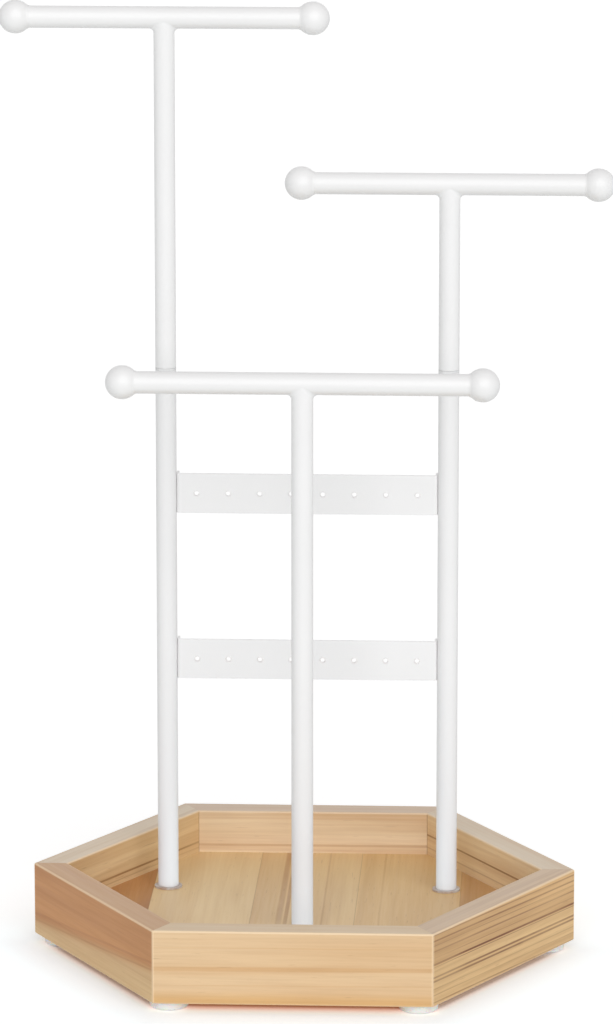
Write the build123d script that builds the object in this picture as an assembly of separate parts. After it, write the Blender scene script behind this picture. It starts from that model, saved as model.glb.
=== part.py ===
from build123d import *
from math import cos, radians, sin, sqrt
import os

# Jewellery stand: three T-shaped hangers on a hexagonal wooden tray, with two perforated
# earring strips welded between the rear posts. Millimetres, +Z up. The origin is on the
# table under the middle of the tray, and the front of the tray faces -Y.

# Tray frame: six mitred boards with a groove for the floor
tray_side = 120.0            # outside length of a board, corner to corner
wall_thickness = 13.0
wall_height = 32.5
edge_ease = 0.8              # rounding of the edges that a hand meets
groove_depth = 5.0
floor_drop = 19.5            # from the rim down to the top of the floor

# Tray floor: edge-glued staves, grain from front to back
floor_thickness = 9.0
stave_width = 46.0
stave_count = 5              # the outer two are cut down by the hexagon
panel_clearance = 0.2        # between the panel's edge and the bottom of the groove

# Feet: clear bumper pads under the corners
foot_diameter = 17.0
foot_height = 4.0
foot_rounding = 1.2
foot_inset = 13.0            # from the tray's corner to the pad's centre

# Posts: where they stand and how thick they are
rear_post_spacing = 125.0
rear_post_y = 32.5
front_post_x = 1.0           # a little right of the middle, as in the photo
front_post_y = -36.0
rear_post_diameter = 9.2
front_post_diameter = 9.5
post_wall = 0.8
lower_post_length = 236.1    # the two rear posts, up to their screwed joints
post_end_ease = 0.25

# Crossbars with a ball at each end
tall_bar_height = 410.0      # from the table to the bar's axis
middle_bar_height = 337.5
front_bar_height = 261.3
rear_bar_reach = 65.0        # from the post's axis to the ball's centre
front_bar_reach = 77.5
bar_diameter = 9.7
bar_wall = 0.8
weld_radius = 2.0            # painted weld between a post and its bar
ball_diameter = 14.7
ball_seat = 3.0              # from the ball's centre to the end of the bar inside it
neck_radius = 1.2            # hollow between the ball and its neck
neck_land = 0.25             # how far the neck stands out from the bar

# Earring strips: sheet steel with both ends folded back
strip_height = 18.0
strip_thickness = 1.0
upper_strip_z = 198.5        # height of each strip's middle
lower_strip_z = 123.1
strip_forward = 2.0          # front of the strip ahead of the posts' axes
tab_length = 6.0
bend_radius = 0.6            # inside of the fold
hole_diameter = 2.2
hole_pitch = 14.0
hole_count = 8

# Screwed joints: a screw up into each post, and a stud at each rear joint
thread_diameter = 5.0
thread_clearance = 0.05      # all round, so that a T-bar can turn
turn_gap = 0.05              # under each end that turns on a washer
plug_length = 12.0
stud_length = 12.0
thread_chamfer = 0.6
screw_length = 20.0
screw_hole_clearance = 0.25
head_diameter = 9.5
head_height = 2.6
head_rounding = 1.2
recess_span = 5.2            # cross recess in the screw's head
recess_width = 1.1
recess_depth = 1.5
steel_washer_diameter = 12.0
steel_washer_thickness = 1.0
base_washer_diameter = 12.4
base_washer_thickness = 0.8
joint_washer_thickness = 1.0

# Places worked out from the sizes above
board_names = ["back_right", "back", "back_left", "front_left", "front", "front_right"]
corner_names = ["right", "back_right", "back_left", "left", "front_left", "front_right"]
inner_side = tray_side - wall_thickness / cos(radians(30))
groove_side = inner_side + groove_depth / cos(radians(30))
panel_side = groove_side - panel_clearance / cos(radians(30))
rim_z = foot_height + wall_height
floor_z = rim_z - floor_drop
underside_z = floor_z - floor_thickness
post_base_z = floor_z + base_washer_thickness
joint_z = post_base_z + lower_post_length
upper_base_z = joint_z + joint_washer_thickness + turn_gap
rear_bore = rear_post_diameter / 2 - post_wall
front_bore = front_post_diameter / 2 - post_wall
thread_bore = thread_diameter / 2 + thread_clearance
screw_hole = thread_diameter / 2 + screw_hole_clearance
left_post = (-rear_post_spacing / 2, rear_post_y)
right_post = (rear_post_spacing / 2, rear_post_y)
front_post = (front_post_x, front_post_y)
screw_places = {"left": left_post, "right": right_post, "front": front_post}


def standing(radius, bottom, top):
    """Solid round bar on the Z axis between two heights."""
    blank = Cylinder(radius, top - bottom, align=(Align.CENTER, Align.CENTER, Align.MIN))
    return Pos(0, 0, bottom) * blank


def ring(outer_radius, inner_radius, bottom, top):
    return standing(outer_radius, bottom, top) - standing(inner_radius, bottom, top)


def outer_end_edges(solid, radius, height):
    """Circular edges of the given radius at one height."""
    circles = solid.edges().filter_by(GeomType.CIRCLE)
    return [e for e in circles
            if abs(e.radius - radius) < 0.01 and abs(e.center(CenterOf.MASS).Z - height) < 0.01]


# ---- tray ----

def tray_frame():
    """All six boards as one hexagonal ring, grooved inside and eased at its edges."""
    outline = RegularPolygon(tray_side, 6) - RegularPolygon(inner_side, 6)
    frame = Pos(0, 0, foot_height) * extrude(outline, wall_height)
    corners = [e for e in frame.edges().filter_by(Axis.Z)
               if sqrt(e.center().X ** 2 + e.center().Y ** 2) > (tray_side + inner_side) / 2]
    rim = frame.faces().sort_by(Axis.Z)[-1].edges()
    base = frame.faces().sort_by(Axis.Z)[0].outer_wire().edges()
    frame = fillet(corners + list(rim) + list(base), edge_ease)
    groove = Pos(0, 0, underside_z) * extrude(RegularPolygon(groove_side, 6), floor_thickness)
    return frame - groove


def tray_board(frame, side):
    """One board: the sixth of the frame between two mitre planes."""
    reach = 2 * tray_side
    ends = [(reach * cos(radians(a)), reach * sin(radians(a))) for a in (60 * side, 60 * side + 60)]
    wedge = extrude(make_face(Polyline((0, 0), *ends, close=True)), 2 * rim_z)
    return frame & wedge


def floor_panel():
    panel = Pos(0, 0, underside_z) * extrude(RegularPolygon(panel_side, 6), floor_thickness)
    for x, y in screw_places.values():
        panel -= Pos(x, y) * standing(screw_hole, underside_z, floor_z)
    return panel


def floor_staves():
    """The panel cut along its glue lines, from left to right."""
    panel = floor_panel()
    seams = [stave_width * (step - stave_count / 2) for step in range(1, stave_count)]
    edges = [-panel_side] + seams + [panel_side]
    staves = []
    for left, right in zip(edges, edges[1:]):
        slab = Box(right - left, 2 * panel_side, 2 * rim_z)
        staves.append(panel & Pos((left + right) / 2, 0, rim_z) * slab)
    return staves


def foot(corner):
    pad = standing(foot_diameter / 2, 0, foot_height)
    pad = fillet(outer_end_edges(pad, foot_diameter / 2, 0), foot_rounding)
    turn = radians(60 * corner)
    out = tray_side - foot_inset
    return Pos(out * cos(turn), out * sin(turn)) * pad


# ---- posts and crossbars ----

def lower_post(place):
    """Straight tube with both ends eased."""
    radius = rear_post_diameter / 2
    tube = ring(radius, rear_bore, post_base_z, joint_z)
    ends = outer_end_edges(tube, radius, post_base_z) + outer_end_edges(tube, radius, joint_z)
    return Pos(*place) * fillet(ends, post_end_ease)


def tee_post(place, diameter, bore, bottom, bar_height):
    """Tube whose top is coped to its crossbar and flared out in a weld."""
    bar = Pos(0, 0, bar_height) * Rot(0, 90, 0) * Cylinder(bar_diameter / 2, 6 * bar_diameter)
    joined = standing(diameter / 2, bottom, bar_height) + bar
    seam = joined.edges().filter_by(GeomType.BSPLINE)
    post = fillet(seam, weld_radius) - bar - standing(bore, bottom, bar_height)
    post = fillet(outer_end_edges(post, diameter / 2, bottom), post_end_ease)
    return Pos(*place) * post


def crossbar(place, bar_height, reach):
    half = reach - ball_seat
    tube = Rot(0, 90, 0) * ring(bar_diameter / 2, bar_diameter / 2 - bar_wall, -half, half)
    return Pos(*place, bar_height) * tube


def end_ball(place, bar_height, reach, side):
    """Ball socketed for the bar, with a hollow neck turned round its mouth."""
    ball = ball_diameter / 2
    bar = bar_diameter / 2
    hollow_y = bar + neck_land + neck_radius
    hollow_x = -sqrt((ball + neck_radius) ** 2 - hollow_y ** 2)
    share = ball / (ball + neck_radius)
    meet = (hollow_x * share, hollow_y * share)
    crown = ThreePointArc((ball, 0), (0, ball), meet)
    turn_in = (hollow_x + neck_radius * sin(radians(20)), hollow_y - neck_radius * cos(radians(20)))
    neck = ThreePointArc(meet, turn_in, (hollow_x, bar + neck_land))
    socket = Polyline((hollow_x, bar + neck_land), (hollow_x, bar), (-ball_seat, bar),
                      (-ball_seat, 0), (ball, 0))
    profile = make_face(crown + neck + socket)
    solid = revolve(profile, Axis.X)
    if side < 0:
        solid = Rot(0, 0, 180) * solid
    x, y = place
    return Pos(x + side * reach, y, bar_height) * solid


# ---- earring strips ----

def earring_strip(middle_z):
    """Folded channel: a flat front with a tab at each end that lies against its post."""
    half = (rear_post_spacing - rear_post_diameter) / 2
    front = rear_post_y - strip_forward
    outside = Pos(0, front + tab_length / 2) * Rectangle(2 * half, tab_length)
    outside = fillet(outside.vertices().group_by(Axis.Y)[0], bend_radius + strip_thickness)
    inside = (Pos(0, front + strip_thickness + tab_length / 2)
              * Rectangle(2 * (half - strip_thickness), tab_length))
    inside = fillet(inside.vertices().group_by(Axis.Y)[0], bend_radius)
    strip = extrude(outside - inside, strip_height / 2, both=True)
    drill = Rot(90, 0, 0) * Cylinder(hole_diameter / 2, 4 * strip_thickness)
    for step in range(hole_count):
        x = (step - (hole_count - 1) / 2) * hole_pitch
        strip -= Pos(x, front + strip_thickness / 2) * drill
    return Pos(0, 0, middle_z) * strip


# ---- screwed joints ----

def threaded_plug(place, bore, bottom):
    """Nut pressed into the end of a tube."""
    return Pos(*place) * ring(bore, thread_bore, bottom, bottom + plug_length)


def threaded_stud(place):
    """Plug in the upper tube with a stud that screws down into the lower one."""
    tip = upper_base_z - stud_length
    stud = standing(rear_bore, upper_base_z, upper_base_z + plug_length)
    stud += standing(thread_diameter / 2, tip, upper_base_z)
    stud = chamfer(outer_end_edges(stud, thread_diameter / 2, tip), thread_chamfer)
    return Pos(*place) * stud


def base_screw(place):
    """Pan-head machine screw, driven up through the floor into a post."""
    seat = underside_z - steel_washer_thickness
    head_end = seat - head_height
    head = standing(head_diameter / 2, head_end, seat)
    head = fillet(outer_end_edges(head, head_diameter / 2, head_end), head_rounding)
    for turn in (0, 90):
        slot = Box(recess_span, recess_width, 2 * recess_depth)
        head -= Pos(0, 0, head_end) * Rot(0, 0, turn) * slot
    shank = standing(thread_diameter / 2, seat, seat + screw_length)
    shank = chamfer(outer_end_edges(shank, thread_diameter / 2, seat + screw_length), thread_chamfer)
    return Pos(*place) * (head + shank)


def washer(place, diameter, bottom, thickness):
    return Pos(*place) * ring(diameter / 2, screw_hole, bottom, bottom + thickness)


# ---- every piece, one name each ----

pieces = {}

frame = tray_frame()
for side, name in enumerate(board_names):
    pieces["wall_" + name] = tray_board(frame, side)
for number, stave in enumerate(floor_staves(), 1):
    pieces[f"floor_stave_{number}"] = stave
for corner, name in enumerate(corner_names):
    pieces["foot_" + name] = foot(corner)

pieces["left_lower_post"] = lower_post(left_post)
pieces["right_lower_post"] = lower_post(right_post)
pieces["upper_earring_strip"] = earring_strip(upper_strip_z)
pieces["lower_earring_strip"] = earring_strip(lower_strip_z)

tees = {
    "tall": (left_post, rear_post_diameter, rear_bore, upper_base_z, tall_bar_height, rear_bar_reach),
    "middle": (right_post, rear_post_diameter, rear_bore, upper_base_z, middle_bar_height,
               rear_bar_reach),
    "front": (front_post, front_post_diameter, front_bore, post_base_z + turn_gap, front_bar_height,
              front_bar_reach),
}
for name, (place, diameter, bore, bottom, height, reach) in tees.items():
    pieces[name + "_post"] = tee_post(place, diameter, bore, bottom, height)
    pieces[name + "_crossbar"] = crossbar(place, height, reach)
    pieces[name + "_ball_left"] = end_ball(place, height, reach, -1)
    pieces[name + "_ball_right"] = end_ball(place, height, reach, 1)

for name, place in screw_places.items():
    pieces[name + "_base_washer"] = washer(place, base_washer_diameter, floor_z, base_washer_thickness)
    pieces[name + "_steel_washer"] = washer(place, steel_washer_diameter,
                                            underside_z - steel_washer_thickness, steel_washer_thickness)
    pieces[name + "_base_screw"] = base_screw(place)

pieces["left_base_plug"] = threaded_plug(left_post, rear_bore, post_base_z)
pieces["right_base_plug"] = threaded_plug(right_post, rear_bore, post_base_z)
pieces["front_base_plug"] = threaded_plug(front_post, front_bore, post_base_z + turn_gap)

for name, place, tee in (("left", left_post, "tall"), ("right", right_post, "middle")):
    pieces[name + "_joint_plug"] = threaded_plug(place, rear_bore, joint_z - plug_length)
    pieces[name + "_joint_washer"] = washer(place, rear_post_diameter, joint_z, joint_washer_thickness)
    pieces[tee + "_stud"] = threaded_stud(place)

os.makedirs("parts", exist_ok=True)
for name, shape in pieces.items():
    export_step(shape, f"parts/{name}.step")
print(len(pieces), "pieces")
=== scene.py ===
from math import cos, pi, radians, tan

import bmesh
import bpy
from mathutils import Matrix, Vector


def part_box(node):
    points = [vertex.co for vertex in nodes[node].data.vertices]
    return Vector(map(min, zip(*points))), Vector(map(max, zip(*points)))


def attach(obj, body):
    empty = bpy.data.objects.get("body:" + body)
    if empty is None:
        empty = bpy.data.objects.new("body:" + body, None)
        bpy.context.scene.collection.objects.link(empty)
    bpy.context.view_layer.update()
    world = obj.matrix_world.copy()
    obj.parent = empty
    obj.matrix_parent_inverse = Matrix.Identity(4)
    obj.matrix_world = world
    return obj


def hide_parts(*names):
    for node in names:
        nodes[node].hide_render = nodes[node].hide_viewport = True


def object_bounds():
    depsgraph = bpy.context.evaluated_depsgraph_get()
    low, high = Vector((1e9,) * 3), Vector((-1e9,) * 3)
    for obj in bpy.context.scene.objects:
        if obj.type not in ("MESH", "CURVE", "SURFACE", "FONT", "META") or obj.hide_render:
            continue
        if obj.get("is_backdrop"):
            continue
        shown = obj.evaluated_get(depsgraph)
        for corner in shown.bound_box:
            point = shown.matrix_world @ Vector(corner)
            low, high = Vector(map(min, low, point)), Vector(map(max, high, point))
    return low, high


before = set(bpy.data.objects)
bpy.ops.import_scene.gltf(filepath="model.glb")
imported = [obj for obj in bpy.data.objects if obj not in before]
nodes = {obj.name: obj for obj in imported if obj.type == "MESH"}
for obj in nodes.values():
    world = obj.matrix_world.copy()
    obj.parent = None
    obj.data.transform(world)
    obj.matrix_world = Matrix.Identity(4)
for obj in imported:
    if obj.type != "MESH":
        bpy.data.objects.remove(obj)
cadLow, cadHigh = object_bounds()
print("stand loaded:", len(nodes), "pieces")


# Colours are written as 0-255 screen values and turned into Blender's linear ones
def tone(red, green, blue):
    def linear(part):
        share = part / 255
        return share / 12.92 if share <= 0.04045 else ((share + 0.055) / 1.055) ** 2.4
    return (linear(red), linear(green), linear(blue), 1.0)


# Small helpers for shader trees: a socket given as a value is linked, anything else is set
def addNode(tree, kind, inputs=None, **settings):
    made = tree.nodes.new(kind)
    for name, value in settings.items():
        setattr(made, name, value)
    for socket, value in (inputs or {}).items():
        if isinstance(value, bpy.types.NodeSocket):
            tree.links.new(value, made.inputs[socket])
        else:
            made.inputs[socket].default_value = value
    return made


def calc(tree, operation, first, second=0.0, third=0.0, clamp=False):
    inputs = {0: first, 1: second, 2: third}
    return addNode(tree, "ShaderNodeMath", inputs, operation=operation, use_clamp=clamp).outputs[0]


def fade(tree, value, start, end, low=0.0, high=1.0):
    inputs = {"Value": value, "From Min": start, "From Max": end, "To Min": low, "To Max": high}
    return addNode(tree, "ShaderNodeMapRange", inputs, interpolation_type="SMOOTHSTEP").outputs[0]


def blendColour(tree, factor, first, second):
    inputs = {0: factor, 6: first, 7: second}
    return addNode(tree, "ShaderNodeMix", inputs, data_type="RGBA").outputs[2]


def noise(tree, vector, scale, detail=3.0, roughness=0.5):
    inputs = {"Vector": vector, "Scale": scale, "Detail": detail, "Roughness": roughness}
    return addNode(tree, "ShaderNodeTexNoise", inputs).outputs[0]


def startMaterial(name):
    material = bpy.data.materials.new(name)
    material.use_nodes = True
    tree = material.node_tree
    place = addNode(tree, "ShaderNodeTexCoord").outputs["Object"]
    return material, tree, tree.nodes["Principled BSDF"], place


def bumpFrom(tree, shader, height, distance):
    inputs = {"Height": height, "Distance": distance}
    tree.links.new(addNode(tree, "ShaderNodeBump", inputs).outputs[0], shader.inputs["Normal"])


def dress(name, material):
    nodes[name].data.materials.clear()
    nodes[name].data.materials.append(material)


# Plain materials, cloudy between a "dark" and a "light" tone. "cloud" is the scale and detail of the
# noise, "bump" the same for its relief with the depth in metres.
plainLooks = {
    "white_coat": {
        "dark": (241, 240, 240), "light": (243, 242, 242), "cloud": (22.0, 1), "mixed": (0.2, 0.8),
        "roughness": (0.275, 0.295), "bump": (1400.0, 2, 0.000003)},
    "zinc_steel": {
        "dark": (196, 198, 202), "light": (214, 215, 217), "cloud": (900.0, 3),
        "roughness": (0.24, 0.36), "bump": (900.0, 3, 0.00001), "settings": {"Metallic": 1.0}},
    "clear_pad": {
        "dark": (250, 251, 251), "light": (250, 250, 251), "cloud": (180.0, 3), "roughness": (0.25, 0.33),
        "settings": {"Transmission Weight": 0.05, "Subsurface Weight": 0.4, "Subsurface Scale": 0.003,
                     "IOR": 1.4}},
    "clear_washer": {
        "dark": (214, 188, 172), "light": (250, 250, 251), "cloud": (180.0, 3), "roughness": (0.35, 0.43),
        "settings": {"Transmission Weight": 0.3, "IOR": 1.4}},
    "white_nylon": {
        "dark": (228, 228, 229), "light": (238, 238, 238), "cloud": (500.0, 3),
        "bump": (500.0, 3, 0.00001), "settings": {"Roughness": 0.5}},
}
# the noise values between which tone and gloss change
evenlyMixed = (0.3, 0.7)


def makePlain(name, look):
    material, tree, shader, place = startMaterial(name)
    cloud = noise(tree, place, *look["cloud"])
    share = fade(tree, cloud, *look.get("mixed", evenlyMixed))
    tree.links.new(blendColour(tree, share, tone(*look["dark"]), tone(*look["light"])),
                   shader.inputs["Base Color"])
    for socket, value in look.get("settings", {}).items():
        shader.inputs[socket].default_value = value
    if "roughness" in look:
        rough = fade(tree, cloud, *evenlyMixed, *look["roughness"])
        tree.links.new(rough, shader.inputs["Roughness"])
    if "bump" in look:
        *grain, depth = look["bump"]
        bumpFrom(tree, shader, noise(tree, place, *grain), depth)
    return material


def plainSlot(name):
    if name.startswith("foot_"):
        return "clear_pad"
    if name.endswith("_base_washer"):
        return "clear_washer"
    if name.endswith("_joint_washer"):
        return "white_nylon"
    if any(part in name for part in ("plug", "stud", "screw", "steel")):
        return "zinc_steel"
    return "white_coat"


# Natural pine. "grain" holds noises drawn out along the board: scale along and across it, detail and
# roughness. "fades" holds where each of them sets in and is full, some with the shares it runs between.
pineLook = {
    "fibreTone": (158, 112, 70), "fleck": 0.22, "fleckTone": (132, 84, 50),
    "roughness": (0.36, 0.46), "ior": 1.45, "bumpDepth": 0.00005, "lineBump": 0.7,
    "ringWander": 1.6, "lineWander": 0.0022, "patchWander": 0.004, "middle": 0.02,
    "glueLine": 0.0003, "glueTone": (124, 88, 58), "mitreGlue": 0.6, "seamGlue": 0.35,
    # the edge tone is a painted highlight along the eased edges; "edges" gives its share on each
    "edgeHighlightTone": (255, 228, 190),
    "edges": {"outerTop": 0.75, "innerTop": 0.5, "outerBase": 0.5, "mitre": 0.45},
    "grain": {
        "wander": (5, 30, 2, 0.45), "strong": (2, 14, 2, 0.5), "uneven": (18, 60, 3, 0.5),
        "broad": (4, 45, 3, 0.5), "streak": (3.5, 260, 3, 0.6), "fibre": (26, 800, 3, 0.6),
        "fleck": (100, 1500, 1, 0.5), "rimStreak": (7, 240, 2, 0.5)},
    "fades": {
        "ringRise": (0.1, 0.85), "ringDrop": (1.0, 0.88), "strong": (0.3, 0.7, 0.25, 1.0),
        "uneven": (0.25, 0.65, 0.35, 1.0), "broad": (0.35, 0.7, 0.0, 0.35), "streak": (0.45, 0.72),
        "fibre": (0.35, 0.7), "fleck": (0.68, 0.78), "rim": (0.0009, 0.0001, 0.0, 0.8),
        "rimStreak": (0.4, 0.7, 0.0, 0.28), "edgeHighlight": (0.001, 0.0003), "line": (1.5, 0.6)},
}
# Each board is cut from its own log: "pith" says where the middle of the rings lies from the board
# (outward, up), "lean" how far the grain climbs along the board, and "lines" are single dark
# latewood lines: place, half width and strength. "patch" is a second tone that takes over below a
# height. Places are in metres, colours as seen on a screen.
# The rim tone is a painted sheen: the greyer look that the top faces take from white light reflected at a
# grazing angle.
boardLooks = {
    "wall_front": {
        "facing": 270, "seed": 1.3, "light": (234, 204, 164), "dark": (210, 164, 112),
        "pith": (0.07, 0.012), "rings": 0.006, "contrast": 0.4, "lean": 0.008,
        "lines": ((0.0199, 0.0009, 0.6), (0.0292, 0.0003, 0.3), (0.0128, 0.0003, 0.25)),
        "rim": (226, 202, 170), "streak": 0.16,
        "patch": {"tone": (224, 178, 114), "from": 0.011, "to": 0.0055, "lean": 0.0, "share": 0.8}},
    "wall_front_right": {
        "facing": 330, "seed": 7.1, "light": (230, 188, 132), "dark": (128, 76, 32),
        "lineTone": (118, 64, 22), "pith": (0.03, -0.06), "rings": 0.0032, "contrast": 0.1,
        "lean": -0.0125,
        "lines": ((0.0349, 0.0003, 0.6), (0.0323, 0.0003, 0.75), (0.0302, 0.0002, 0.4),
                  (0.0277, 0.0003, 0.6), (0.0248, 0.0002, 0.35), (0.022, 0.0004, 1.0),
                  (0.0208, 0.0002, 0.6), (0.0163, 0.0004, 0.9), (0.0146, 0.0004, 1.0),
                  (0.0112, 0.0002, 0.4), (0.0085, 0.0002, 0.4), (0.0053, 0.0003, 0.6)),
        "rim": (224, 199, 172), "fibre": 0.2, "streak": 0.14, "straight": 0.5,
        "patch": {"tone": (238, 202, 146), "from": 0.0218, "to": 0.021, "lean": -0.0125, "share": 0.6}},
    "wall_back_right": {
        "facing": 30, "seed": 3.7, "light": (250, 226, 184), "dark": (200, 154, 102),
        "pith": (0.05, 0.06), "rings": 0.008, "contrast": 0.35, "lean": 0.0,
        "lines": ((0.0265, 0.0004, 0.8), (0.0205, 0.0003, 0.3)), "lineTone": (140, 92, 52),
        "rim": (224, 206, 184)},
    "wall_back": {
        "facing": 90, "seed": 9.2, "light": (239, 217, 184), "dark": (208, 164, 118),
        "pith": (0.07, 0.03), "rings": 0.006, "contrast": 0.5, "lean": 0.0,
        "lines": ((0.0206, 0.0005, 0.5), (0.0333, 0.0005, 0.22), (0.0358, 0.0014, 0.24)),
        "lineTone": (188, 142, 94), "rim": (222, 196, 172),
        "patch": {"tone": (255, 236, 206), "from": 0.0275, "to": 0.022, "lean": 0.0, "share": 0.8}},
    "wall_back_left": {
        "facing": 150, "seed": 5.4, "light": (238, 210, 164), "dark": (186, 140, 84),
        "pith": (0.06, -0.03), "rings": 0.009, "contrast": 0.3, "lean": 0.0,
        "lines": ((0.0212, 0.0004, 0.85), (0.0188, 0.0002, 0.4)), "lineTone": (132, 84, 44),
        "rim": (230, 212, 190)},
    "wall_front_left": {
        "facing": 210, "seed": 2.6, "light": (212, 150, 92), "dark": (176, 114, 64),
        "pith": (0.05, -0.03), "rings": 0.007, "contrast": 0.4, "lean": 0.07,
        "lines": ((0.0178, 0.0005, 0.4), (0.0146, 0.0004, 0.35)), "rim": (210, 172, 132),
        "patch": {"tone": (234, 200, 148), "from": 0.0174, "to": 0.0112, "lean": 0.07, "share": 0.95}},
}
staveLooks = {
    "floor_stave_1": {"seed": 11.0, "light": (199, 143, 88), "dark": (144, 88, 48)},
    "floor_stave_2": {"seed": 14.5, "light": (240, 210, 160), "dark": (206, 162, 106)},
    "floor_stave_3": {"seed": 17.2, "light": (236, 204, 152), "dark": (182, 128, 78),
                      "lines": ((-0.0105, 0.0012, 0.55), (-0.0075, 0.0008, 0.7), (0.0085, 0.0004, 0.3)),
                      "lineTone": (162, 106, 60)},
    "floor_stave_4": {"seed": 19.9, "light": (232, 196, 140), "dark": (200, 156, 102),
                      "lines": ((0.0335, 0.0004, 0.4),)},
    "floor_stave_5": {"seed": 23.6, "light": (216, 172, 116), "dark": (168, 116, 68)},
}


def makePine(name, look):
    material, tree, shader, place = startMaterial(name)
    fades = pineLook["fades"]
    turn = radians(270 - look.get("facing", 180))
    local = addNode(tree, "ShaderNodeMapping", {"Vector": place, "Rotation": (0, 0, turn)}).outputs[0]
    parts = addNode(tree, "ShaderNodeSeparateXYZ", {0: local}).outputs
    along, across, up = parts[0], parts[1], parts[2]
    offset = (look["seed"], look["seed"] * 0.7, look["seed"] * 0.3)
    dark, lean = tone(*look["dark"]), look.get("lean", 0.0)

    def grain(label):
        lengthwise, crosswise, detail, roughness = pineLook["grain"][label]
        inputs = {"Vector": local, "Location": offset, "Scale": (lengthwise, crosswise, crosswise)}
        drawn = addNode(tree, "ShaderNodeMapping", inputs).outputs[0]
        return noise(tree, drawn, 1.0, detail, roughness)

    def climbing(value, slope):
        return calc(tree, "MULTIPLY_ADD", along, -slope, value) if slope else value

    wander = calc(tree, "SUBTRACT", grain("wander"), 0.5)
    # distance from the middle of the log, counted in rings
    out = calc(tree, "SUBTRACT", across, look["centre"] + look["pith"][0])
    rise = climbing(calc(tree, "SUBTRACT", up, pineLook["middle"] + look["pith"][1]), lean)
    square = calc(tree, "MULTIPLY_ADD", out, out, calc(tree, "MULTIPLY", rise, rise))
    rings = calc(tree, "DIVIDE", calc(tree, "SQRT", square), look["rings"])
    ring = calc(tree, "FRACT", calc(tree, "MULTIPLY_ADD", wander, pineLook["ringWander"], rings))
    rising, dropping = fade(tree, ring, *fades["ringRise"]), fade(tree, ring, *fades["ringDrop"])
    late = calc(tree, "MULTIPLY", rising, dropping)
    strong = fade(tree, grain("strong"), *fades["strong"])
    late = calc(tree, "MULTIPLY", calc(tree, "MULTIPLY", late, strong), look["contrast"])
    # single dark lines, a little uneven in place and strength
    ruler = climbing(up if look["upright"] else across, lean)
    bend = pineLook["lineWander"] * look.get("straight", 1.0)
    ruler = calc(tree, "MULTIPLY_ADD", wander, bend, ruler)
    uneven = fade(tree, grain("uneven"), *fades["uneven"])
    outerEdge, innerEdge = fades["line"]
    lines = 0.0
    for spot, halfWidth, strength in look.get("lines", ()):
        off = calc(tree, "ABSOLUTE", calc(tree, "SUBTRACT", ruler, spot))
        line = fade(tree, off, halfWidth * outerEdge, halfWidth * innerEdge, 0.0, strength)
        lines = calc(tree, "MAXIMUM", lines, calc(tree, "MULTIPLY", line, uneven))
    broad = fade(tree, grain("broad"), *fades["broad"])
    colour = blendColour(tree, broad, tone(*look["light"]), dark)
    patch = look.get("patch")
    if patch:
        level = calc(tree, "MULTIPLY_ADD", wander, pineLook["patchWander"], climbing(up, patch["lean"]))
        below = fade(tree, level, patch["from"], patch["to"], 0.0, patch["share"])
        colour = blendColour(tree, below, colour, tone(*patch["tone"]))
    colour = blendColour(tree, late, colour, dark)
    colour = blendColour(tree, lines, colour, tone(*look.get("lineTone", look["dark"])))
    # streaks, fine fibres and short dark flecks, drawn out along the grain
    fibre = grain("fibre")
    for layer, label, strength, layerTone in (
            (grain("streak"), "streak", look["streak"], dark),
            (fibre, "fibre", look["fibre"], tone(*pineLook["fibreTone"])),
            (grain("fleck"), "fleck", pineLook["fleck"], tone(*pineLook["fleckTone"]))):
        share = fade(tree, layer, *fades[label], 0.0, strength)
        colour = blendColour(tree, share, colour, layerTone)
    if look["upright"]:
        outside = calc(tree, "SUBTRACT", across, look["outer"])
        inside = calc(tree, "SUBTRACT", look["inner"], across)
        fromTop = calc(tree, "SUBTRACT", look["top"], up)
        fromBase = calc(tree, "SUBTRACT", up, look["base"])
        halfLength = calc(tree, "MULTIPLY", across, -tan(radians(30)))
        toSeam = calc(tree, "SUBTRACT", halfLength, calc(tree, "ABSOLUTE", along))
    else:
        toSeam = calc(tree, "MINIMUM", calc(tree, "SUBTRACT", across, look["low"]),
                      calc(tree, "SUBTRACT", look["high"], across))
    glueShare = pineLook["mitreGlue" if look["upright"] else "seamGlue"]
    glue = fade(tree, toSeam, pineLook["glueLine"], 0.0, 0.0, glueShare)
    colour = blendColour(tree, glue, colour, tone(*pineLook["glueTone"]))
    if look["upright"]:
        # the top faces and the top of the faces take the rim tone, a painted sheen, streaked along the
        # grain
        rimStreak = fade(tree, grain("rimStreak"), *fades["rimStreak"])
        rimColour = blendColour(tree, rimStreak, tone(*look["rim"]), dark)
        colour = blendColour(tree, fade(tree, fromTop, *fades["rim"]), colour, rimColour)
        # eased edges painted lighter than the faces: a painted highlight where they catch the light
        edges = {"outerTop": (outside, fromTop), "innerTop": (inside, fromTop),
                 "outerBase": (outside, fromBase), "mitre": (outside, toSeam)}
        for label, (first, second) in edges.items():
            corner = calc(tree, "ADD", first, second)
            edgeHighlight = fade(tree, corner, *fades["edgeHighlight"], 0.0, pineLook["edges"][label])
            colour = blendColour(tree, edgeHighlight, colour, tone(*pineLook["edgeHighlightTone"]))
    tree.links.new(colour, shader.inputs["Base Color"])
    rough = fade(tree, fibre, *evenlyMixed, *pineLook["roughness"])
    tree.links.new(rough, shader.inputs["Roughness"])
    shader.inputs["IOR"].default_value = pineLook["ior"]
    raised = calc(tree, "MAXIMUM", late, lines)
    relief = calc(tree, "MULTIPLY_ADD", raised, pineLook["lineBump"], fibre)
    bumpFrom(tree, shader, relief, pineLook["bumpDepth"])
    return material


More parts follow.
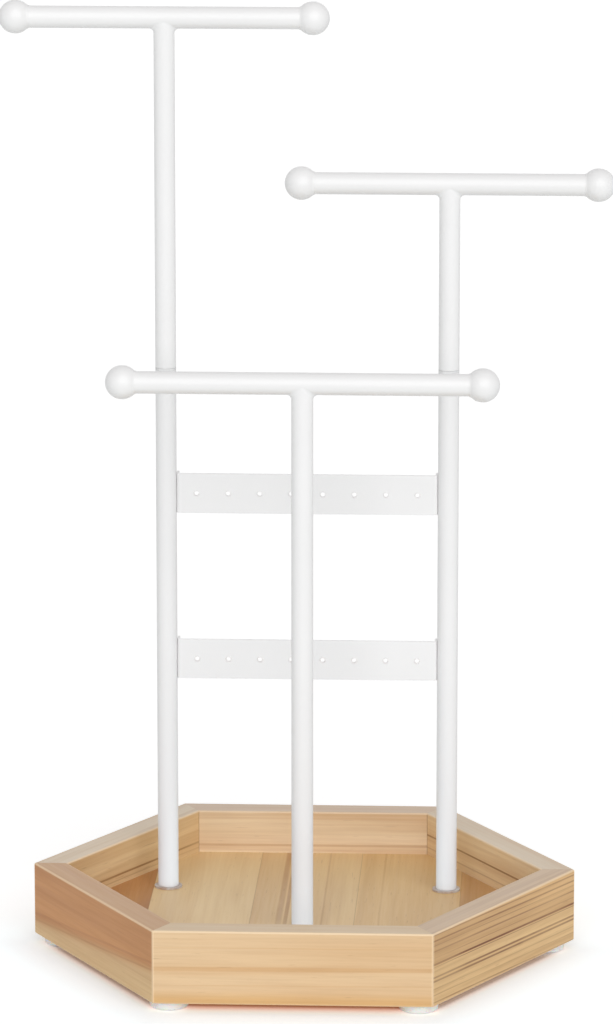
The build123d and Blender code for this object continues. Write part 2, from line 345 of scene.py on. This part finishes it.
frontLow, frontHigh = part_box("wall_front")
boardPlaces = {"outer": frontLow.y, "inner": frontHigh.y, "base": frontLow.z, "top": frontHigh.z,
               "centre": (frontLow.y + frontHigh.y) / 2, "upright": True, "streak": 0.25, "fibre": 0.12}
stavePlaces = {"pith": (0.012, -0.06), "rings": 0.011, "contrast": 0.4, "upright": False,
               "streak": 0.14, "fibre": 0.05}
plain = {slot: makePlain(slot, look) for slot, look in plainLooks.items()}
whiteCoat, zinc = plain["white_coat"], plain["zinc_steel"]
for name in nodes:
    if name in boardLooks:
        dress(name, makePine(name, dict(boardPlaces, **boardLooks[name])))
    elif name in staveLooks:
        low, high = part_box(name)
        ownPlace = {"centre": (low.x + high.x) / 2, "low": low.x, "high": high.x}
        dress(name, makePine(name, dict(stavePlaces, **ownPlace, **staveLooks[name])))
    else:
        dress(name, plain[plainSlot(name)])
print("materials made:", len(bpy.data.materials))


# Geometry Nodes: a tree with named inputs is grown on an object, then kept as a plain mesh
def startTree(name, inputs):
    tree = bpy.data.node_groups.new(name, "GeometryNodeTree")
    for label, kind, value in inputs:
        socket = tree.interface.new_socket(name=label, in_out="INPUT", socket_type="NodeSocket" + kind)
        if value is not None:
            socket.default_value = value
    tree.interface.new_socket(name="Mesh", in_out="OUTPUT", socket_type="NodeSocketGeometry")
    return tree, addNode(tree, "NodeGroupInput").outputs


def endTree(tree, geometry, material, smooth=True):
    whole = addNode(tree, "GeometryNodeRealizeInstances", {0: geometry}).outputs[0]
    shaded = addNode(tree, "GeometryNodeSetShadeSmooth", {0: whole, "Shade Smooth": smooth}).outputs[0]
    painted = addNode(tree, "GeometryNodeSetMaterial", {0: shaded, "Material": material}).outputs[0]
    addNode(tree, "NodeGroupOutput", {0: painted})


def placed(tree, geometry, **moves):
    inputs = dict({0: geometry}, **{label.capitalize(): value for label, value in moves.items()})
    return addNode(tree, "GeometryNodeTransform", inputs).outputs[0]


def joined(tree, *parts):
    made = addNode(tree, "GeometryNodeJoinGeometry")
    for part in reversed(parts):
        tree.links.new(part, made.inputs[0])
    return made.outputs[0]


def growPiece(name, tree, values, points=()):
    mesh = bpy.data.meshes.new(name)
    mesh.from_pydata(points, [], [])
    holder = bpy.data.objects.new(name, mesh)
    bpy.context.scene.collection.objects.link(holder)
    modifier = holder.modifiers.new("grow", "NODES")
    modifier.node_group = tree
    for socket in tree.interface.items_tree:
        if socket.in_out == "INPUT" and socket.name in values:
            modifier[socket.identifier] = values[socket.name]
    bpy.context.view_layer.update()
    graph = bpy.context.evaluated_depsgraph_get()
    grown = bpy.data.meshes.new_from_object(holder.evaluated_get(graph), depsgraph=graph)
    holder.modifiers.clear()
    holder.data = grown
    return holder


# Paint built up round the rims of the earring holes, on both faces of both strips
rimLook = {"holeRadius": 0.0011, "bead": 0.00022, "outward": 0.4, "pitch": 0.014, "count": 8,
           "stripThickness": 0.001, "around": 24, "section": 8}
upperLow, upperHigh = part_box("upper_earring_strip")
lowerLow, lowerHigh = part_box("lower_earring_strip")


def holeRimTree():
    tree, given = startTree("hole_rims", (
        ("Hole Radius", "Float", 0.001), ("Bead Radius", "Float", 0.0002), ("Pitch", "Float", 0.014),
        ("Count", "Int", 8), ("First Hole", "Vector", (0, 0, 0)), ("Thickness", "Float", 0.001),
        ("Drop", "Float", 0.07)))
    step = addNode(tree, "ShaderNodeCombineXYZ", {0: given["Pitch"]}).outputs[0]
    row = addNode(tree, "GeometryNodeMeshLine", {
        "Count": given["Count"], "Start Location": given["First Hole"], "Offset": step}).outputs[0]
    back = addNode(tree, "ShaderNodeCombineXYZ", {1: given["Thickness"]}).outputs[0]
    both = joined(tree, row, placed(tree, row, translation=back))
    down = calc(tree, "MULTIPLY", given["Drop"], -1.0)
    below = addNode(tree, "ShaderNodeCombineXYZ", {2: down}).outputs[0]
    spots = joined(tree, both, placed(tree, both, translation=below))
    circle = addNode(tree, "GeometryNodeCurvePrimitiveCircle", {
        "Resolution": rimLook["around"], "Radius": given["Hole Radius"]}).outputs[0]
    section = addNode(tree, "GeometryNodeCurvePrimitiveCircle", {
        "Resolution": rimLook["section"], "Radius": given["Bead Radius"]}).outputs[0]
    rim = addNode(tree, "GeometryNodeCurveToMesh", {"Curve": circle, "Profile Curve": section}).outputs[0]
    upright = placed(tree, rim, rotation=(pi / 2, 0, 0))
    rims = addNode(tree, "GeometryNodeInstanceOnPoints", {"Points": spots, "Instance": upright}).outputs[0]
    endTree(tree, rims, whiteCoat)
    return tree


firstHole = (-rimLook["pitch"] * (rimLook["count"] - 1) / 2, upperLow.y, (upperLow.z + upperHigh.z) / 2)
rims = growPiece("hole_rims", holeRimTree(), {
    "Hole Radius": rimLook["holeRadius"] + rimLook["bead"] * rimLook["outward"],
    "Bead Radius": rimLook["bead"], "Pitch": rimLook["pitch"], "Count": rimLook["count"],
    "Thickness": rimLook["stripThickness"], "First Hole": firstHole,
    "Drop": upperLow.z - lowerLow.z})
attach(rims, "stand")
print("hole rims:", len(rims.data.polygons), "faces")


# Short welds behind the strips' tabs, where the tabs leave the round of the posts
weldLook = {"length": 0.0048, "bead": 0.00085, "steps": 25, "section": 16, "ripple": 0.12,
            "rippleAngle": 36.0, "blunt": 4.0, "tip": 1.02, "behind": 0.0028, "in": 0.0002,
            "fromEnd": 0.004}


def weldTree():
    tree, given = startTree("strip_welds", (
        ("Places", "Geometry", None), ("Length", "Float", 0.005), ("Bead Radius", "Float", 0.001),
        ("Steps", "Int", 25), ("Ripple", "Float", 0.1), ("Seed", "Int", 3)))
    half = calc(tree, "MULTIPLY", given["Length"], 0.5)
    line = addNode(tree, "GeometryNodeCurvePrimitiveLine", {
        "Start": addNode(tree, "ShaderNodeCombineXYZ", {2: calc(tree, "MULTIPLY", half, -1.0)}).outputs[0],
        "End": addNode(tree, "ShaderNodeCombineXYZ", {2: half}).outputs[0]}).outputs[0]
    line = addNode(tree, "GeometryNodeResampleCurve", {"Curve": line, "Count": given["Steps"]}).outputs[0]
    share = addNode(tree, "GeometryNodeSplineParameter").outputs["Factor"]
    # rounded ends, and the ripples that a weld leaves
    middle = calc(tree, "MULTIPLY_ADD", share, 2.0, -1.0)
    towardsEnd = calc(tree, "POWER", calc(tree, "ABSOLUTE", middle), weldLook["blunt"])
    taper = calc(tree, "POWER", calc(tree, "SUBTRACT", weldLook["tip"], towardsEnd), 0.5)
    waves = calc(tree, "SINE", calc(tree, "MULTIPLY", share, weldLook["rippleAngle"]))
    wave = calc(tree, "MULTIPLY_ADD", waves, given["Ripple"], 1.0)
    radius = calc(tree, "MULTIPLY", calc(tree, "MULTIPLY", taper, wave), given["Bead Radius"])
    section = addNode(tree, "GeometryNodeCurvePrimitiveCircle", {
        "Resolution": weldLook["section"], "Radius": 1.0}).outputs[0]
    bead = addNode(tree, "GeometryNodeCurveToMesh", {
        "Curve": line, "Profile Curve": section, "Scale": radius, "Fill Caps": True}).outputs[0]
    anyTurn = {2: 0.0, 3: 6.28, "Seed": given["Seed"]}
    turn = addNode(tree, "FunctionNodeRandomValue", anyTurn).outputs[1]
    welds = addNode(tree, "GeometryNodeInstanceOnPoints", {
        "Points": given["Places"], "Instance": bead,
        "Rotation": addNode(tree, "ShaderNodeCombineXYZ", {2: turn}).outputs[0]}).outputs[0]
    endTree(tree, welds, whiteCoat)
    return tree


postLow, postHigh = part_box("left_lower_post")
postY = (postLow.y + postHigh.y) / 2
weldPlaces = []
for low, high in ((upperLow, upperHigh), (lowerLow, lowerHigh)):
    for x in (low.x - weldLook["in"], high.x + weldLook["in"]):
        for z in (low.z + weldLook["fromEnd"], high.z - weldLook["fromEnd"]):
            weldPlaces.append((x, postY + weldLook["behind"], z))
welds = growPiece("strip_welds", weldTree(), {
    "Length": weldLook["length"], "Bead Radius": weldLook["bead"], "Steps": weldLook["steps"],
    "Ripple": weldLook["ripple"]}, weldPlaces)
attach(welds, "stand")
print("strip welds:", len(welds.data.polygons), "faces")


# Threads of the base screws and of the studs in the upper posts. The plain CAD shank goes, and
# what stands above or below it is kept from the CAD node.
threadLook = {"crest": 0.0025, "pitch": 0.0008, "depth": 0.0004, "endGap": 0.0007,
              "stepsInTurn": 24, "coreSides": 32, "overlap": 1e-5, "merge": 1e-7}


def threadTree():
    tree, given = startTree("thread", (
        ("Crest Radius", "Float", 0.0025), ("Pitch", "Float", 0.0008), ("Depth", "Float", 0.0004),
        ("Length", "Float", 0.02), ("Foot", "Vector", (0, 0, 0)), ("End Gap", "Float", 0.0007)))
    root = calc(tree, "SUBTRACT", given["Crest Radius"], given["Depth"])
    climb = calc(tree, "MULTIPLY_ADD", given["End Gap"], -2.0, given["Length"])
    helix = addNode(tree, "GeometryNodeCurveSpiral", {
        "Resolution": threadLook["stepsInTurn"],
        "Rotations": calc(tree, "DIVIDE", climb, given["Pitch"]),
        "Start Radius": root, "End Radius": root, "Height": climb}).outputs[0]
    helix = addNode(tree, "GeometryNodeSetCurveNormal", {"Curve": helix}, mode="Z_UP").outputs[0]
    diamond = addNode(tree, "GeometryNodeCurvePrimitiveCircle", {
        "Resolution": 4, "Radius": given["Depth"]}).outputs[0]
    ridge = addNode(tree, "GeometryNodeCurveToMesh", {
        "Curve": helix, "Profile Curve": diamond, "Fill Caps": True}).outputs[0]
    lift = addNode(tree, "ShaderNodeCombineXYZ", {2: given["End Gap"]}).outputs[0]
    ridge = placed(tree, ridge, translation=lift)
    core = addNode(tree, "GeometryNodeMeshCylinder", {
        "Vertices": threadLook["coreSides"], "Radius": root, "Depth": given["Length"]}).outputs[0]
    half = calc(tree, "MULTIPLY", given["Length"], 0.5)
    middle = addNode(tree, "ShaderNodeCombineXYZ", {2: half}).outputs[0]
    rod = joined(tree, ridge, placed(tree, core, translation=middle))
    endTree(tree, placed(tree, rod, translation=given["Foot"]), zinc, smooth=False)
    return tree


def threadedPiece(name, node, body, keepBelow, cut):
    low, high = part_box(node)
    centre = ((low.x + high.x) / 2, (low.y + high.y) / 2)
    foot, length = (cut, high.z - cut) if keepBelow else (low.z, cut - low.z)
    piece = growPiece(name, threads, {
        "Crest Radius": threadLook["crest"], "Pitch": threadLook["pitch"], "Depth": threadLook["depth"],
        "End Gap": threadLook["endGap"], "Length": length, "Foot": (*centre, foot)})
    kept = bmesh.new()
    kept.from_mesh(nodes[node].data)
    bmesh.ops.remove_doubles(kept, verts=kept.verts, dist=threadLook["merge"])
    everything = kept.verts[:] + kept.edges[:] + kept.faces[:]
    inset = -threadLook["overlap"] if keepBelow else threadLook["overlap"]
    bmesh.ops.bisect_plane(kept, geom=everything, plane_co=(0, 0, cut + inset), plane_no=(0, 0, 1),
                           clear_outer=keepBelow, clear_inner=not keepBelow)
    bmesh.ops.holes_fill(kept, edges=[edge for edge in kept.edges if edge.is_boundary])
    kept.from_mesh(piece.data)
    kept.to_mesh(piece.data)
    kept.free()
    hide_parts(node)
    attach(piece, body)
    return piece


threads = threadTree()
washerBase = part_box("left_steel_washer")[0].z
for side in ("left", "right", "front"):
    threadedPiece(side + "_screw", side + "_base_screw", "stand", True, washerBase)
for tee in ("tall", "middle"):
    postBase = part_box(tee + "_post")[0].z
    threadedPiece(tee + "_threaded_stud", tee + "_stud", tee + "_tee", False, postBase)
print("threads cut on screws and studs")


# Camera and lights
cameraLook = {"place": (0.1128, -2.4356, 0.7275), "tilt": 77.729, "turn": 2.624, "lens": 200.5,
              "sensor": 36.0}
lightLook = {"key": 1.75, "keyElevation": 22.0, "keyAzimuth": 12.0, "keySize": 70.0, "world": 0.46}
scene = bpy.context.scene


def addObject(name, data):
    made = bpy.data.objects.new(name, data)
    scene.collection.objects.link(made)
    return made


cameraData = bpy.data.cameras.new("camera")
cameraData.sensor_width = cameraLook["sensor"]
cameraData.lens = cameraLook["lens"]
camera = addObject("camera", cameraData)
camera.location = cameraLook["place"]
camera.rotation_euler = (radians(cameraLook["tilt"]), 0, radians(cameraLook["turn"]))
scene.camera = camera

keyData = bpy.data.lights.new("key", "SUN")
keyData.energy = lightLook["key"]
keyData.angle = radians(lightLook["keySize"])
key = addObject("key", keyData)
key.rotation_euler = (radians(90 - lightLook["keyElevation"]), 0, radians(lightLook["keyAzimuth"]))

# A low sheet of light in the tray that only the posts and strips take, since the lit boards turn
# their feet brown
fillLook = {"power": 0.065, "tone": (0.35, 0.7, 1.0), "width": 0.19, "depth": 0.15, "height": 0.0176}
fillData = bpy.data.lights.new("foot_fill", "AREA")
fillData.energy = fillLook["power"]
fillData.color = fillLook["tone"]
fillData.shape = "RECTANGLE"
fillData.size = fillLook["width"]
fillData.size_y = fillLook["depth"]
fill = addObject("foot_fill", fillData)
fill.location = (0.0, 0.0, fillLook["height"])
fill.rotation_euler = (radians(180), 0.0, 0.0)
fill.visible_camera = False
fill.visible_glossy = False
fill.visible_transmission = False
lit = bpy.data.collections.new("posts")
for name in nodes:
    if name.endswith(("_post", "_earring_strip")):
        lit.objects.link(nodes[name])
fill.light_linking.receiver_collection = lit

# The world looks white to the camera, in mirrors and through clear parts, and lights at a plain level
world = bpy.data.worlds.new("studio")
world.use_nodes = True
scene.world = world
sky = world.node_tree
path = addNode(sky, "ShaderNodeLightPath").outputs
shown = calc(sky, "ADD", path["Is Camera Ray"], path["Is Glossy Ray"])
shown = calc(sky, "ADD", shown, path["Is Transmission Ray"], clamp=True)
background = sky.nodes["Background"]
background.inputs["Color"].default_value = (1, 1, 1, 1)
sky.links.new(fade(sky, shown, 0.0, 1.0, lightLook["world"], 1.0), background.inputs["Strength"])
print("camera, lights and world placed")


# White ground. "near" gives the glow that it adds at distances (metres) from the tray's outline: an even
# lift to white far off, less of it close to the tray so that its shadow shows, and under the boards' edge
# a painted warm red and pink, painted shade in the gap under the tray and painted light that the boards
# bounce onto the ground. That warm light is only met in front of the tray, so the glow gives way to
# "behind" at the back, and along the slanted boards it is weaker and less brown. The ground's own colour
# is a little cool against the warm glow, so that its shade turns pink, and a share of the glow lights the
# object from below as bounce.
groundLook = {
    "size": 30.0, "drop": 0.0002, "diffuse": (0.88, 0.92, 0.92), "mirrorShare": 0.5, "bounceShare": 0.3,
    "behind": (0.45, 0.42, 0.42), "behindFade": (-0.02, 0.06),
    "sideShift": 0.0025, "sideFade": (-0.002, 0.004), "closeFade": (0.001, -0.006),
    "sideSaturation": 0.55, "sideStrength": 0.75,
    "liftAndPaintedShade": ((-0.0125, (0.17, 0.03, 0.0)), (-0.009, (0.5, 0.26, 0.2)), (-0.006, (0.49, 0.38, 0.34)),
             (-0.003, (0.35, 0.35, 0.32)), (0.0, (0.3, 0.29, 0.3)), (0.006, (0.29, 0.3, 0.33)),
             (0.012, (0.33, 0.34, 0.37)), (0.035, (0.4, 0.44, 0.47)), (0.09, (0.43, 0.45, 0.47)),
             (0.2, (0.45, 0.43, 0.43))),
}
size = groundLook["size"]
floorMesh = bpy.data.meshes.new("floor")
floorMesh.from_pydata([(-size, -size, 0), (size, -size, 0), (size, size, 0), (-size, size, 0)],
                      [], [(0, 1, 2, 3)])
floor = addObject("floor", floorMesh)
floor.location.z = -groundLook["drop"]
floorMaterial, tree, shader, place = startMaterial("floor_white")
tree.nodes.remove(shader)
# how far a point of the ground is from the hexagon, measured from front to back
parts = addNode(tree, "ShaderNodeSeparateXYZ", {0: place}).outputs
sideways, depth = calc(tree, "ABSOLUTE", parts[0]), calc(tree, "ABSOLUTE", parts[1])
slanted = calc(tree, "MULTIPLY_ADD", sideways, cos(radians(30)), calc(tree, "MULTIPLY", depth, 0.5))
beyond = calc(tree, "MULTIPLY_ADD", slanted, 2.0, frontLow.y - groundLook["sideShift"])
fromTray = calc(tree, "ADD", calc(tree, "MAXIMUM", depth, beyond), frontLow.y)
first, last = groundLook["liftAndPaintedShade"][0][0], groundLook["liftAndPaintedShade"][-1][0]
reach = {"Value": fromTray, "From Min": first, "From Max": last}
# the ramp paints the tray's contact shade and the boards' warm bounce into the ground's glow
ramp = addNode(tree, "ShaderNodeValToRGB", {0: addNode(tree, "ShaderNodeMapRange", reach).outputs[0]})
stops = ramp.color_ramp.elements
for spot, colour in groundLook["liftAndPaintedShade"]:
    where = (spot - first) / (last - first)
    stop = stops[0] if where == 0 else stops[-1] if where == 1 else stops.new(where)
    stop.color = (*colour, 1)
onSide = fade(tree, calc(tree, "SUBTRACT", beyond, depth), *groundLook["sideFade"])
dull = calc(tree, "MULTIPLY", onSide, fade(tree, fromTray, *groundLook["closeFade"]))
sideLiftAndPaintedShade = addNode(tree, "ShaderNodeHueSaturation", {
    "Color": ramp.outputs["Color"],
    "Saturation": fade(tree, dull, 0.0, 1.0, 1.0, groundLook["sideSaturation"]),
    "Value": fade(tree, dull, 0.0, 1.0, 1.0, groundLook["sideStrength"])}).outputs[0]
behind = fade(tree, parts[1], *groundLook["behindFade"])
# painted shade and warm bounce by the tray, an even lift to white at the back
liftAndPaintedShadeTone = blendColour(tree, behind, sideLiftAndPaintedShade, (*groundLook["behind"], 1))
path = addNode(tree, "ShaderNodeLightPath").outputs
mirrored = calc(tree, "ADD", path["Is Glossy Ray"], path["Is Transmission Ray"])
seen = calc(tree, "MULTIPLY_ADD", mirrored, groundLook["mirrorShare"], path["Is Camera Ray"])
seen = calc(tree, "MULTIPLY_ADD", path["Is Diffuse Ray"], groundLook["bounceShare"], seen)
diffuse = addNode(tree, "ShaderNodeBsdfDiffuse", {"Color": (*groundLook["diffuse"], 1)})
glow = addNode(tree, "ShaderNodeEmission", {"Color": liftAndPaintedShadeTone, "Strength": seen})
both = addNode(tree, "ShaderNodeAddShader", {0: diffuse.outputs[0], 1: glow.outputs[0]})
tree.links.new(both.outputs[0], tree.nodes["Material Output"].inputs["Surface"])
floorMesh.materials.append(floorMaterial)
floor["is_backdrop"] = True
print("ground laid")

scene.view_settings.view_transform = "Standard"

low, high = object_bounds()
{"cad": [list(cadLow), list(cadHigh)], "visual": [list(low), list(high)]}
